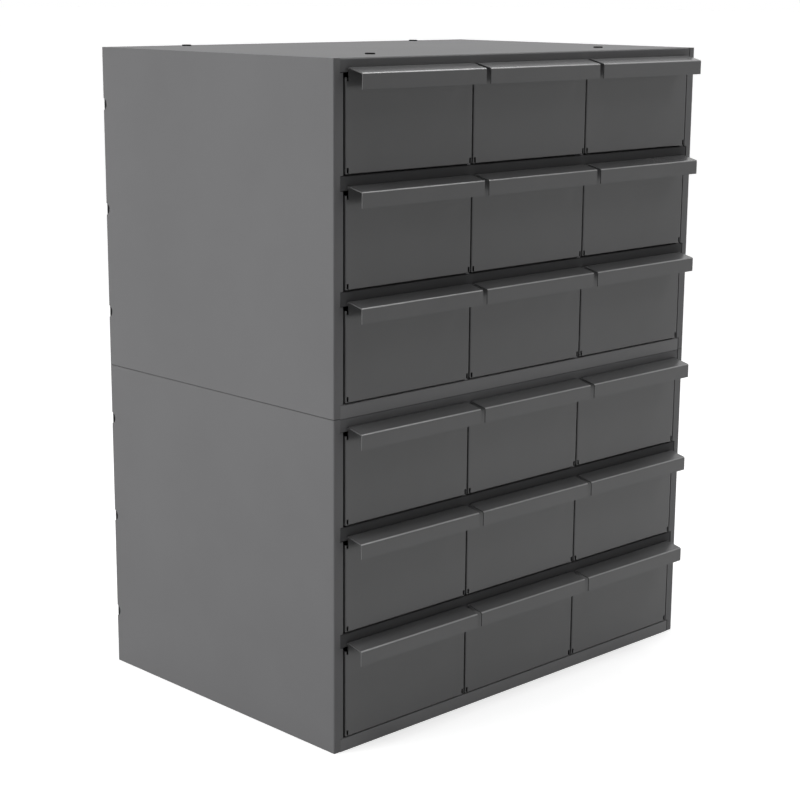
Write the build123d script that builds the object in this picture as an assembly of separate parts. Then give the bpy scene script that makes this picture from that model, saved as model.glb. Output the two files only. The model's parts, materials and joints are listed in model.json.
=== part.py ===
from build123d import *
import math
import os

# Small parts cabinet: two identical units of folded sheet steel, one on the other,
# each with three columns and three rows of drawers.
# Millimetres. X to the right, Y to the back, Z up, origin at the middle of the base.

# Case of one unit
case_width = 438.2
case_depth = 295.3
unit_height = 276.2
case_sheet = 0.9
case_bend = 1.4  # outer radius of a fold
base_edge_round = 0.7  # of the walls' lower outer edge
flange_width = 9.5  # front flange of a side wall
flange_notch = 2.9  # depth of the flange's notch for a rail's end
top_rail = 10.5
shelf_rail = 11.3
floor_rail = 11.2
hidden_flange = 9.0  # flanges that fasten the top and the shelves to the walls
corner_notch = 1.0  # clears the folds of the walls
rail_right_gap = 1.0  # between a rail's right end and its notch
rail_under_gap = 0.5
rail_play = 0.1  # over a rail and at its left end
relief_hole_radius = 5.2
relief_hole_spacing = 90.0
relief_holes = 3

# Drawers
column_names = ["left", "centre", "right"]
row_names = ["top", "middle", "bottom"]
drawer_sheet = 0.8
drawer_bend = 0.9
drawer_gap = 1.6  # between neighbouring faces
side_gap = 1.9  # between a face and the flange
drawer_lift = 1.0  # underside of a drawer above its shelf
rear_clearance = 9.6
face_standoff = 0.2  # back of a face in front of the case
wall_drop = 3.7  # top of a drawer's walls below the top of its opening
face_rise = 4.0  # top of a face above the top of its opening
pull_reach = 17.6  # front of a pull from the front of the case
pull_slope = 12.6  # degrees down to the front
pull_bend = 1.5
lip_height = 12.2
pull_inset = 1.8  # end of a pull to the side of the face
slot_width = 2.0  # slots that free the face's folds at its corners
slot_inset = 1.0  # slot to the side of the face
lower_slot = 5.0
upper_slot = 3.0  # below the top of the walls
upper_slot_top = 2.2  # upper end of the slot below the top of the face
travel = 225.0
stop_clearance = 0.5
ear_length = 12.0  # ears on the walls that stop the drawer at its travel
ear_rise = 4.0  # above the top of the opening

# Divider and the ribs that hold it
divider_sheet = 0.8
divider_height = 60.0
divider_flange = 7.0
divider_side_clearance = 0.4
divider_slack = 0.4  # slot wider than the divider
rib_depth = 1.2
rib_width = 1.4
rib_height = 58.0
rib_places = 5
rib_pitch = 42.0
divider_place = 4  # counted from the front rib pair

# Slide guides on the shelves
guide_rib = 0.6
guide_rib_height = 6.0
guide_left_foot = 4.2  # from the guide's middle
guide_right_foot = 8.0
guide_front = 1.0  # left foot behind the front of the case
guide_right_setback = 12.0
guide_rear_gap = 12.0

# Bars under the floor pan, the bolts that join the units and the plugs in the top's holes
bar_width = 30.0
bar_flange = 8.0
bar_bend = 1.2
bar_end_gap = 1.0
bolt_hole_radius = 3.45
access_hole_radius = 11.0  # in the floor pan, over a bolt
bolt_front_setback = 46.0
bolt_rear_setback = 14.3
bolt_radius = 3.175
bolt_length = 9.5
bolt_head_height = 4.0
bolt_across_flats = 11.1
nut_height = 5.6
nut_bore_clearance = 0.05
washer_radius = 7.95
washer_hole_radius = 3.6
washer_thickness = 1.6
plug_head_radius = 4.1
plug_head_height = 1.1
plug_head_round = 0.5
plug_wall = 0.7
plug_clearance = 0.05
plug_bead = 0.25  # how far the plug's bead is wider than its hole, all round
plug_bead_height = 0.8
plug_tail = 2.2  # below the sheet

# Worked out from the sizes above
columns = len(column_names)
rows = len(row_names)
front = -case_depth / 2
back = case_depth / 2
wall_outside = case_width / 2
wall_inside = wall_outside - case_sheet
opening_width = case_width - 2 * flange_width
drawer_width = (opening_width - 2 * side_gap - (columns - 1) * drawer_gap) / columns
column_pitch = drawer_width + drawer_gap
opening_height = (unit_height - top_rail - floor_rail - (rows - 1) * shelf_rail) / rows
row_pitch = opening_height + shelf_rail
notch_side = wall_outside - flange_width + flange_notch
rail_left = -notch_side + rail_play
rail_right = notch_side - rail_right_gap

face_back = front - face_standoff
face_front = face_back - drawer_sheet
pull_front = front - pull_reach
drawer_rear = back - case_sheet - rear_clearance
drawer_length = drawer_rear - face_front
wall_height = opening_height - wall_drop - drawer_lift
face_height = opening_height + face_rise - drawer_lift
pull_width = drawer_width - 2 * pull_inset
slot_top = face_height - upper_slot_top
pull_drop = (face_back - pull_front) * math.tan(math.radians(pull_slope))
rail_inside = front + case_sheet
ear_front = rail_inside + travel + stop_clearance
drawer_inside = drawer_width / 2 - drawer_sheet

bar_front = front + 2 * case_sheet + bar_end_gap
bar_rear = back - 2 * case_sheet - bar_end_gap


def column_x(column):
    """Middle of a column of drawers, counted from the left."""
    return (column - (columns - 1) / 2) * column_pitch


def shelf_z(row):
    """Top of the sheet under a row of drawers, above the unit's base. The top row is row 0."""
    return floor_rail + (rows - 1 - row) * row_pitch


def bolt_places():
    """The four bolts, at the middles of the outer columns."""
    outer = column_x(columns - 1)
    front_bolt = front + bolt_front_setback
    rear_bolt = back - bolt_rear_setback
    return [(x, y) for x in (-outer, outer) for y in (front_bolt, rear_bolt)]


def rail_levels():
    """Bottom and top of each front rail of a unit, from the floor pan's to the top pan's."""
    levels = [(0, floor_rail)]
    for row in range(rows - 1, 0, -1):
        top = shelf_z(row - 1)
        levels.append((top - shelf_rail, top))
    levels.append((unit_height - top_rail, unit_height))
    return levels


def folded(points, sheet, bend):
    """Section of a sheet folded along points on its outer face, with the sheet on their left."""
    outer = FilletPolyline(*points, radius=bend)
    return make_face(offset(outer, amount=sheet, side=Side.LEFT))


def box(x0, x1, y0, y1, z0, z1):
    """Box between two corners."""
    middle = Pos((x0 + x1) / 2, (y0 + y1) / 2, (z0 + z1) / 2)
    return middle * Box(x1 - x0, y1 - y0, z1 - z0)


def on_outside(vertex):
    """Whether a point of a unit's wrap lies on its sides, front or back."""
    return max(abs(vertex.X) - wall_outside, abs(vertex.Y) - back) > -case_sheet / 2


def case_wrap():
    """Left wall, back and right wall of a unit, with the front flanges, from one sheet."""
    flange_end = wall_outside - flange_width
    outline = [
        (flange_end, front),
        (wall_outside, front),
        (wall_outside, back),
        (-wall_outside, back),
        (-wall_outside, front),
        (-flange_end, front),
    ]
    wrap = extrude(folded(outline, case_sheet, case_bend), unit_height)
    base_edges = wrap.edges().group_by(Axis.Z)[0]
    outer_edges = [edge for edge in base_edges if all(on_outside(end) for end in edge.vertices())]
    wrap = fillet(outer_edges, base_edge_round)
    for low, high in rail_levels():
        z0 = low - rail_under_gap
        z1 = high + rail_play
        for side in (-1, 1):
            x0, x1 = sorted((side * (flange_end - 1), side * notch_side))
            wrap -= box(x0, x1, front - 1, front + case_bend, z0, z1)
    for hole in range(relief_holes):
        z = unit_height / 2 + (hole - (relief_holes - 1) / 2) * relief_hole_spacing
        across_wall = Rot(0, 90, 0) * Cylinder(relief_hole_radius, 2 * case_bend)
        for side in (-1, 1):
            wrap -= Pos(side * wall_outside, back, z) * across_wall
    return wrap


def shelf(top, rail, flange):
    """Sheet with its top at a height, its front rail, and flanges down at the sides and back."""
    side = wall_inside
    rear = back - case_sheet
    side_section = [(side, top - flange), (side, top), (-side, top), (-side, top - flange)]
    sides = folded(side_section, case_sheet, case_bend)
    deck = Pos(0, rear, 0) * extrude(Plane.XZ * sides, rear - rail_inside)
    for x, y in ((side, rear), (side, rail_inside), (-side, rear), (-side, rail_inside)):
        deck -= Pos(x, y, top) * Box(2 * corner_notch, 2 * corner_notch, 4 * flange)
    rail_section = [(rear, top - flange), (rear, top), (front, top), (front, top - rail)]
    strip = folded(rail_section, case_sheet, case_bend)
    return deck + Pos(rail_left, 0, 0) * extrude(Plane.YZ * strip, rail_right - rail_left)


def top_pan():
    """Top of a unit with its front rail and the four bolt holes."""
    pan = shelf(unit_height, top_rail, hidden_flange)
    for x, y in bolt_places():
        pan -= Pos(x, y, unit_height) * Cylinder(bolt_hole_radius, 4 * case_sheet)
    return pan


def floor_pan():
    """Bottom shelf of a unit, whose rail and flanges reach the base, with holes over the bolts."""
    pan = shelf(floor_rail, floor_rail, floor_rail)
    for x, y in bolt_places():
        pan -= Pos(x, y, floor_rail) * Cylinder(access_hole_radius, 4 * case_sheet)
    return pan


def floor_stiffeners():
    """Hat-section bars under the floor pan, one for each column; the outer two take the bolts."""
    foot = floor_rail - 2 * case_sheet
    edge = bar_width / 2
    wing = edge + bar_flange
    hat = [(-wing, foot), (-edge, foot), (-edge, 0), (edge, 0), (edge, foot), (wing, foot)]
    bar = extrude(Plane.XZ * folded(hat, case_sheet, bar_bend), bar_rear - bar_front)
    bars = [Pos(column_x(column), bar_rear, 0) * bar for column in range(columns)]
    for x, y in bolt_places():
        hole = Pos(x, y, 0) * Cylinder(bolt_hole_radius, 4 * case_sheet)
        place = 0 if x < 0 else columns - 1
        bars[place] -= hole
    return Compound(children=[bar.solid() for bar in bars])


def slide_guides(row):
    """Guides on the sheet under a row: flat feet that carry the drawers, and a rib between them."""
    z = shelf_z(row)
    rear = back - guide_rear_gap
    guides = []
    for place in range(columns + 1):
        x = column_x(place) - column_pitch / 2
        rib_side = guide_rib / 2
        setback = front + guide_right_setback
        guide = box(x - rib_side, x + rib_side, setback, rear, z, z + guide_rib_height)
        if place > 0:
            guide += box(x - guide_left_foot, x, front + guide_front, rear, z, z + drawer_lift)
        if place < columns:
            guide += box(x, x + guide_right_foot, setback, rear, z, z + drawer_lift)
        guides.append(guide.solid())
    return Compound(children=guides)


def drawer_tray():
    """Floor, walls and lower face of a drawer, open at the top."""
    middle = (face_front + drawer_rear) / 2
    outer = Pos(0, middle, wall_height / 2) * Box(drawer_width, drawer_length, wall_height)
    folds = outer.edges().filter_by(Axis.Z) + outer.edges().group_by(Axis.Z)[0]
    outer = fillet(folds, drawer_bend)
    return outer - box(
        -drawer_inside,
        drawer_inside,
        face_back,
        drawer_rear - drawer_sheet,
        drawer_sheet,
        wall_height + 1,
    )


def drawer_pull():
    """Upper face of a drawer, the ledge folded forward from its top, and the lip."""
    lip_top = face_height - pull_drop
    section = [
        (face_back, wall_height - upper_slot),
        (face_back, face_height),
        (pull_front, lip_top),
        (pull_front, lip_top - lip_height),
    ]
    return extrude(Plane.YZ * folded(section, drawer_sheet, pull_bend), pull_width / 2, both=True)


def divider_ribs():
    """Pairs of ribs on the inside of a drawer's walls."""
    ribs = []
    half_slot = (divider_sheet + divider_slack) / 2
    for place in range(rib_places):
        y = rib_y(place)
        for side in (-1, 1):
            x0, x1 = sorted((side * drawer_inside, side * (drawer_inside - rib_depth)))
            for y0 in (y - half_slot - rib_width, y + half_slot):
                ribs.append(box(x0, x1, y0, y0 + rib_width, drawer_sheet, rib_height))
    return ribs


def rib_y(place):
    """Middle of a pair of divider ribs, counted from the front."""
    middle = (face_back + drawer_rear - drawer_sheet) / 2
    return middle + (place - (rib_places - 1) / 2) * rib_pitch


def drawer():
    """A drawer, with its underside at Z 0 and its middle at X 0."""
    body = drawer_tray() + drawer_pull()
    half = drawer_width / 2
    for side in (-1, 1):
        x0, x1 = sorted((side * (half - slot_inset), side * (half - slot_inset - slot_width)))
        body -= box(x0, x1, face_front - 1, face_back, -1, lower_slot)
        body -= box(x0, x1, face_front - 1, face_back, wall_height - upper_slot, slot_top)
        x0, x1 = sorted((side * half, side * drawer_inside))
        ear_top = wall_height + wall_drop + ear_rise
        body += box(x0, x1, ear_front, ear_front + ear_length, wall_height, ear_top)
    for rib in divider_ribs():
        body += rib
    return body


def divider():
    """A divider, standing on the floor of its drawer between a pair of ribs."""
    half = drawer_inside - divider_side_clearance
    y = rib_y(divider_place - 1) - divider_sheet / 2
    top = drawer_sheet + divider_height
    section = [(y, drawer_sheet), (y, top), (y + divider_flange, top)]
    plate = folded(section[::-1], divider_sheet, drawer_bend)
    return extrude(Plane.YZ * plate, half, both=True)


def hexagon(across_flats, height):
    """Hexagonal prism standing on Z 0."""
    return extrude(RegularPolygon(across_flats / 2, 6, major_radius=False), height)


def stack_bolt():
    """Bolt that comes up through the lower unit's top, with Z 0 under its head's flat."""
    head = Pos(0, 0, -bolt_head_height) * hexagon(bolt_across_flats, bolt_head_height)
    shank = Pos(0, 0, bolt_length / 2) * Cylinder(bolt_radius, bolt_length)
    return head + shank


def stack_washer():
    ring = Cylinder(washer_radius, washer_thickness) - Cylinder(washer_hole_radius, washer_thickness)
    return Pos(0, 0, washer_thickness / 2) * ring


def stack_nut():
    bore = Cylinder(bolt_radius + nut_bore_clearance, 4 * nut_height)
    return hexagon(bolt_across_flats, nut_height) - bore


def hole_plug():
    """Plug for a bolt hole: a low head on the sheet, whose face is Z 0, and a shell with a bead."""
    head = Pos(0, 0, plug_head_height / 2) * Cylinder(plug_head_radius, plug_head_height)
    head = fillet(head.edges().group_by(Axis.Z)[-1], plug_head_round)
    shell_radius = bolt_hole_radius - plug_clearance
    shell_length = case_sheet + plug_tail
    shell = Pos(0, 0, -shell_length / 2) * Cylinder(shell_radius, shell_length)
    bead_middle = -case_sheet - plug_clearance - plug_bead_height / 2
    bead = Pos(0, 0, bead_middle) * Cylinder(bolt_hole_radius + plug_bead, plug_bead_height)
    bore = Pos(0, 0, -shell_length / 2) * Cylinder(shell_radius - plug_wall, shell_length)
    return head + (shell + bead - bore)


def at_bolts(piece, z):
    """The same fastener at each of the four bolts."""
    return Compound(children=[Pos(x, y, z) * piece.solid() for x, y in bolt_places()])


def save(piece, node):
    export_step(piece, os.path.join("parts", node + ".step"))


def build_unit(name, base):
    """Writes one unit whose base is at a height."""
    up = Pos(0, 0, base)
    save(up * case_wrap(), f"{name}_case_wrap")
    save(up * top_pan(), f"{name}_top_pan")
    save(up * floor_pan(), f"{name}_floor_pan")
    save(up * floor_stiffeners(), f"{name}_floor_stiffeners")
    for row, row_name in enumerate(row_names):
        if row < rows - 1:
            save(up * shelf(shelf_z(row), shelf_rail, hidden_flange), f"{name}_shelf_{row + 1}")
        save(up * slide_guides(row), f"{name}_slide_guides_{row_name}")
        for column, column_name in enumerate(column_names):
            place = Pos(column_x(column), 0, base + shelf_z(row) + drawer_lift)
            save(place * drawer_piece, f"{name}_drawer_{row_name}_{column_name}")
            save(place * divider_piece, f"{name}_divider_{row_name}_{column_name}")


os.makedirs("parts", exist_ok=True)
drawer_piece = drawer()
divider_piece = divider()
for name, base in (("lower", 0), ("upper", unit_height)):
    build_unit(name, base)

washer_z = unit_height - case_sheet - washer_thickness
save(at_bolts(stack_bolt(), washer_z), "stack_bolts")
save(at_bolts(stack_washer(), washer_z), "stack_washers")
save(at_bolts(stack_nut(), unit_height + case_sheet), "stack_nuts")
save(at_bolts(hole_plug(), 2 * unit_height), "top_hole_plugs")
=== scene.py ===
import bpy
import json
import math
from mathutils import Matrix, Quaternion, Vector

# Camera, in degrees, metres and millimetres of lens
VIEW_AZIMUTH = -44.14
VIEW_ELEVATION = 12.61
VIEW_ROLL = 0.40
VIEW_DISTANCE = 1.625
VIEW_TARGET = Vector((-0.0511, -0.0477, 0.251))
LENS = 83.5
SENSOR = 36.0

# Colours, linear
CASE_PAINT = (0.125, 0.125, 0.128)
# The shelf paint is the case paint made darker: painted shade on the shelf rails
SHELF_SHADED_PAINT = (0.100, 0.100, 0.102)
DRAWER_PAINT = (0.110, 0.110, 0.112)
# A painted highlight, lighter than the drawer paint, laid on folds that face up and forward
FOLD_PAINTED_HIGHLIGHT = (0.32, 0.32, 0.32)
# Painted shade, near black, laid on rounds and edges that face down, such as the seam between stacked
# cases
UNDERSIDE_PAINTED_SHADE = (0.015, 0.015, 0.015)
ZINC = (0.60, 0.61, 0.62)
BLACK = (0.012, 0.012, 0.012)
FLOOR = (0.72, 0.72, 0.72)

# The Y of a fold's normal times its Z, where the painted highlight starts and where it is full
FOLD_EDGE = -0.24
FOLD_MIDDLE = -0.36

# The Z of an underside's normal, where the painted shade starts and where it is full
SHADE_EDGE = -0.10
SHADE_FULL = -0.40

# Light: a sun's watts a square metre, soft boxes' watts, and radiances where white is 1
TOP_LIGHT = 1.45
LEFT_BOX = 29.0
RIGHT_BAR = 13.0
SKY_LIGHT = 0.04
FLOOR_GLOW = 0.65
FLOOR_REACH = 40.0  # metres from the middle to each side

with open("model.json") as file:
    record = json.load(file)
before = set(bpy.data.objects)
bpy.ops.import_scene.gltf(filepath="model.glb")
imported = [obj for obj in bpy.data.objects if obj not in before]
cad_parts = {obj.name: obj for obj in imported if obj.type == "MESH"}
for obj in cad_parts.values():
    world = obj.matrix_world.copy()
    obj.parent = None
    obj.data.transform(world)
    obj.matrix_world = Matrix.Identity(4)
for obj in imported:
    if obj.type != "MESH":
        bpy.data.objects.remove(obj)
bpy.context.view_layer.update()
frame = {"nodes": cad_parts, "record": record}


def new_material(name):
    """A material with an empty tree and its shader and output."""
    material = bpy.data.materials.new(name)
    material.use_nodes = True
    nodes = material.node_tree.nodes
    nodes.clear()
    shader = nodes.new("ShaderNodeBsdfPrincipled")
    output = nodes.new("ShaderNodeOutputMaterial")
    material.node_tree.links.new(shader.outputs["BSDF"], output.inputs["Surface"])
    return material, shader


def noise(tree, cells, detail):
    """Noise in object coordinates, with a number of cells a metre."""
    coordinates = tree.nodes.new("ShaderNodeTexCoord")
    texture = tree.nodes.new("ShaderNodeTexNoise")
    texture.inputs["Scale"].default_value = cells
    texture.inputs["Detail"].default_value = detail
    tree.links.new(coordinates.outputs["Object"], texture.inputs["Vector"])
    return texture.outputs["Fac"]


def shade(colour, factor):
    """A colour made darker or lighter by a factor."""
    return tuple(channel * factor for channel in colour)


def drifting(tree, value, colour, least, most):
    """A colour that a noise value takes from its least shade to its most."""
    node = tree.nodes.new("ShaderNodeValToRGB")
    node.color_ramp.elements[0].position = 0.3
    node.color_ramp.elements[0].color = (*shade(colour, least), 1)
    node.color_ramp.elements[1].position = 0.7
    node.color_ramp.elements[1].color = (*shade(colour, most), 1)
    tree.links.new(value, node.inputs["Fac"])
    return node.outputs["Color"]


def spread(tree, value, low, high):
    """A value from 0 to 1, spread over a range."""
    node = tree.nodes.new("ShaderNodeMapRange")
    node.inputs["To Min"].default_value = low
    node.inputs["To Max"].default_value = high
    tree.links.new(value, node.inputs["Value"])
    return node.outputs["Result"]


def bump(tree, height, depth, strength):
    """Bump of a depth in metres."""
    node = tree.nodes.new("ShaderNodeBump")
    node.inputs["Distance"].default_value = depth
    node.inputs["Strength"].default_value = strength
    tree.links.new(height, node.inputs["Height"])
    return node.outputs["Normal"]


def multiply(tree, first, second):
    """The product of two values."""
    node = tree.nodes.new("ShaderNodeMath")
    node.operation = "MULTIPLY"
    tree.links.new(first, node.inputs[0])
    tree.links.new(second, node.inputs[1])
    return node.outputs["Value"]


def blend(tree, amount, first, second):
    """From a first colour to a second by an amount."""
    node = tree.nodes.new("ShaderNodeMix")
    node.data_type = "RGBA"
    tree.links.new(amount, node.inputs["Factor"])
    tree.links.new(first, node.inputs["A"])
    node.inputs["B"].default_value = (*second, 1)
    return node.outputs["Result"]


def normal_axes(tree):
    """The X, Y and Z of the surface's normal, as outputs."""
    geometry = tree.nodes.new("ShaderNodeNewGeometry")
    axes = tree.nodes.new("ShaderNodeSeparateXYZ")
    tree.links.new(geometry.outputs["Normal"], axes.inputs["Vector"])
    return axes.outputs


def rise(tree, value, start, end):
    """From 0 to 1 as a value goes from a start to an end."""
    node = tree.nodes.new("ShaderNodeMapRange")
    node.inputs["From Min"].default_value = start
    node.inputs["From Max"].default_value = end
    tree.links.new(value, node.inputs["Value"])
    return node.outputs["Result"]


def painted_fold_highlight(tree):
    """1 on folds between a top and a front, where a painted highlight lightens the coat, broken up a
    little.
    """
    axes = normal_axes(tree)
    fold = rise(tree, multiply(tree, axes["Y"], axes["Z"]), FOLD_EDGE, FOLD_MIDDLE)
    patches = spread(tree, noise(tree, cells=45, detail=4), low=0.55, high=1.35)
    return multiply(tree, fold, patches)


def painted_underside_shade(tree):
    """1 on rounds and edges that face down, painted dark as the shade in the seam under them."""
    return rise(tree, normal_axes(tree)["Z"], SHADE_EDGE, SHADE_FULL)


def powder_coat(name, colour, smooth, rough, gloss, fold_highlight=None, underside_shade=None):
    """Powder coat: orange peel, drifting colour and roughness, a painted highlight on folds and painted
    shade on undersides.
    """
    material, shader = new_material(name)
    tree = material.node_tree
    drift = noise(tree, cells=9, detail=3)
    peel = noise(tree, cells=650, detail=2)
    tint = drifting(tree, drift, colour, least=0.94, most=1.06)
    # A painted highlight on the folds that face up and forward
    if fold_highlight is not None:
        tint = blend(tree, painted_fold_highlight(tree), tint, fold_highlight)
    # Painted shade on rounds and edges that face down
    if underside_shade is not None:
        tint = blend(tree, painted_underside_shade(tree), tint, underside_shade)
    tree.links.new(tint, shader.inputs["Base Color"])
    tree.links.new(spread(tree, drift, smooth, rough), shader.inputs["Roughness"])
    tree.links.new(bump(tree, peel, depth=0.00004, strength=0.5), shader.inputs["Normal"])
    shader.inputs["Specular IOR Level"].default_value = gloss
    return material


def plated(name, colour):
    """Zinc plate: metallic, with a fine grain and cloudy gloss."""
    material, shader = new_material(name)
    tree = material.node_tree
    cloud = noise(tree, cells=120, detail=4)
    grain = noise(tree, cells=1800, detail=2)
    tree.links.new(drifting(tree, cloud, colour, least=0.86, most=1.05), shader.inputs["Base Color"])
    tree.links.new(spread(tree, cloud, low=0.28, high=0.45), shader.inputs["Roughness"])
    tree.links.new(bump(tree, grain, depth=0.00002, strength=0.4), shader.inputs["Normal"])
    shader.inputs["Metallic"].default_value = 1.0
    return material


def moulded(name, colour):
    """Matt moulded plastic with a fine spark-eroded texture."""
    material, shader = new_material(name)
    tree = material.node_tree
    cloud = noise(tree, cells=90, detail=3)
    grain = noise(tree, cells=2400, detail=2)
    tree.links.new(drifting(tree, cloud, colour, least=0.8, most=1.3), shader.inputs["Base Color"])
    tree.links.new(spread(tree, cloud, low=0.75, high=0.85), shader.inputs["Roughness"])
    tree.links.new(bump(tree, grain, depth=0.00002, strength=0.5), shader.inputs["Normal"])
    shader.inputs["Specular IOR Level"].default_value = 0.1
    return material


def lit_and_shaded_pressing_coats():
    """Copies of the case paint on some pressings, by part of a name, that stand in for light and shade on
    the rails: a darker, dull coat on the shelves as painted shade, a glossier one on the floor pans as
    painted light, and a duller one on the top pan that darkens its rail.
    """
    return {
        "_top_pan": powder_coat("top_powder_coat", CASE_PAINT, smooth=0.48, rough=0.60, gloss=0.24),
        # The floor pans' coat is glossier: painted light on the floor rails
        "_floor_pan": powder_coat(
            "floor_pan_lit_powder_coat", CASE_PAINT, smooth=0.40, rough=0.52, gloss=0.58
        ),
        # The shelves' coat is darker and dull: painted shade on the shelf rails
        "_shelf_": powder_coat("shelf_shaded_powder_coat", SHELF_SHADED_PAINT, smooth=0.48, rough=0.60, gloss=0.02),
    }


def slot_finishes():
    """The finish of each material slot of the record."""
    return {
        # The case coat carries painted shade on its undersides
        "case_paint": powder_coat(
            "case_powder_coat", CASE_PAINT, smooth=0.48, rough=0.60, gloss=0.42, underside_shade=UNDERSIDE_PAINTED_SHADE
        ),
        # The drawer coat carries a painted highlight on its folds
        "drawer_paint": powder_coat(
            "drawer_powder_coat", DRAWER_PAINT, smooth=0.20, rough=0.30, gloss=0.4, fold_highlight=FOLD_PAINTED_HIGHLIGHT
        ),
        "divider_paint": powder_coat(
            "divider_powder_coat", CASE_PAINT, smooth=0.48, rough=0.60, gloss=0.15
        ),
        "zinc": plated("fastener_zinc", ZINC),
        "plug_plastic": moulded("plug_black", BLACK),
    }


def dress_nodes():
    """Gives each CAD node its material, by its pressing, where a lit or shaded copy of the case paint
    stands, or else by the slot that the record names.
    """
    coats = lit_and_shaded_pressing_coats()
    finishes = slot_finishes()
    slots = {part["node"]: part["material_slot"] for part in frame["record"]["subparts"]}
    for node, piece in frame["nodes"].items():
        own = [coat for mark, coat in coats.items() if mark in node]
        piece.data.materials.clear()
        piece.data.materials.append(own[0] if own else finishes[slots[node]])


def camera():
    """The camera at the photograph's viewing angle."""
    azimuth = math.radians(VIEW_AZIMUTH)
    elevation = math.radians(VIEW_ELEVATION)
    back = Vector(
        (
            math.sin(azimuth) * math.cos(elevation),
            -math.cos(azimuth) * math.cos(elevation),
            math.sin(elevation),
        )
    )
    data = bpy.data.cameras.new("view")
    data.lens = LENS
    data.sensor_width = SENSOR
    piece = bpy.data.objects.new("view", data)
    piece.location = VIEW_TARGET + back * VIEW_DISTANCE
    piece.rotation_mode = "QUATERNION"
    roll = Quaternion((0, 0, 1), math.radians(VIEW_ROLL))
    piece.rotation_quaternion = (-back).to_track_quat("-Z", "Y") @ roll
    bpy.context.collection.objects.link(piece)
    bpy.context.scene.camera = piece


def softbox(name, place, aim, width, height, power):
    """A rectangular lamp at a place, turned to another."""
    data = bpy.data.lights.new(name, "AREA")
    data.shape = "RECTANGLE"
    data.size = width
    data.size_y = height
    data.energy = power
    lamp = bpy.data.objects.new(name, data)
    lamp.location = place
    lamp.rotation_mode = "QUATERNION"
    lamp.rotation_quaternion = (Vector(aim) - Vector(place)).to_track_quat("-Z", "Y")
    bpy.context.collection.objects.link(lamp)


def sun(name, place, power, spread_angle):
    """A soft far lamp that shines from a place to the origin."""
    data = bpy.data.lights.new(name, "SUN")
    data.energy = power
    data.angle = math.radians(spread_angle)
    lamp = bpy.data.objects.new(name, data)
    lamp.rotation_mode = "QUATERNION"
    lamp.rotation_quaternion = (-Vector(place)).to_track_quat("-Z", "Y")
    bpy.context.collection.objects.link(lamp)


def seen_directly(tree):
    """1 for what the camera sees, by itself or in gloss or glass, and 0 for light on the object."""
    path = tree.nodes.new("ShaderNodeLightPath")
    seen = path.outputs["Is Camera Ray"]
    for ray in ("Is Glossy Ray", "Is Transmission Ray"):
        either = tree.nodes.new("ShaderNodeMath")
        either.operation = "MAXIMUM"
        tree.links.new(seen, either.inputs[0])
        tree.links.new(path.outputs[ray], either.inputs[1])
        seen = either.outputs[0]
    return seen


def surroundings():
    """A world that is white where it is seen, and weak as a light."""
    world = bpy.data.worlds.new("surroundings")
    world.use_nodes = True
    bpy.context.scene.world = world
    tree = world.node_tree
    background = tree.nodes["Background"]
    background.inputs["Color"].default_value = (1, 1, 1, 1)
    light = spread(tree, seen_directly(tree), low=SKY_LIGHT, high=1.0)
    tree.links.new(light, background.inputs["Strength"])


def floor():
    """A pale floor, seen as white where no shadow falls on it."""
    mesh = bpy.data.meshes.new("floor")
    corners = [(-1, -1), (1, -1), (1, 1), (-1, 1)]
    mesh.from_pydata([(x * FLOOR_REACH, y * FLOOR_REACH, 0) for x, y in corners], [], [(0, 1, 2, 3)])
    piece = bpy.data.objects.new("floor", mesh)
    bpy.context.collection.objects.link(piece)
    material, shader = new_material("floor_white")
    tree = material.node_tree
    shader.inputs["Base Color"].default_value = (*FLOOR, 1)
    shader.inputs["Roughness"].default_value = 0.9
    shader.inputs["Specular IOR Level"].default_value = 0.0
    shader.inputs["Emission Color"].default_value = (1, 1, 1, 1)
    glow = spread(tree, seen_directly(tree), low=0.0, high=FLOOR_GLOW)
    tree.links.new(glow, shader.inputs["Emission Strength"])
    mesh.materials.append(material)


def studio():
    """Soft light from above, a soft box at the left, a bar at the right and white all round."""
    sun("top_light", place=(-0.10, 0.05, 1.0), power=TOP_LIGHT, spread_angle=40)
    softbox(
        "left_box", place=(-2.2, 0.7, 0.55), aim=(-0.2, 0.1, 0.3), width=1.0, height=1.3, power=LEFT_BOX
    )
    softbox(
        "right_bar", place=(1.1, -0.5, 1.75), aim=(0.0, -0.5, 0.3), width=1.6, height=0.3, power=RIGHT_BAR
    )
    surroundings()
    floor()


dress_nodes()
camera()
studio()
bpy.context.scene.view_settings.view_transform = "Standard"
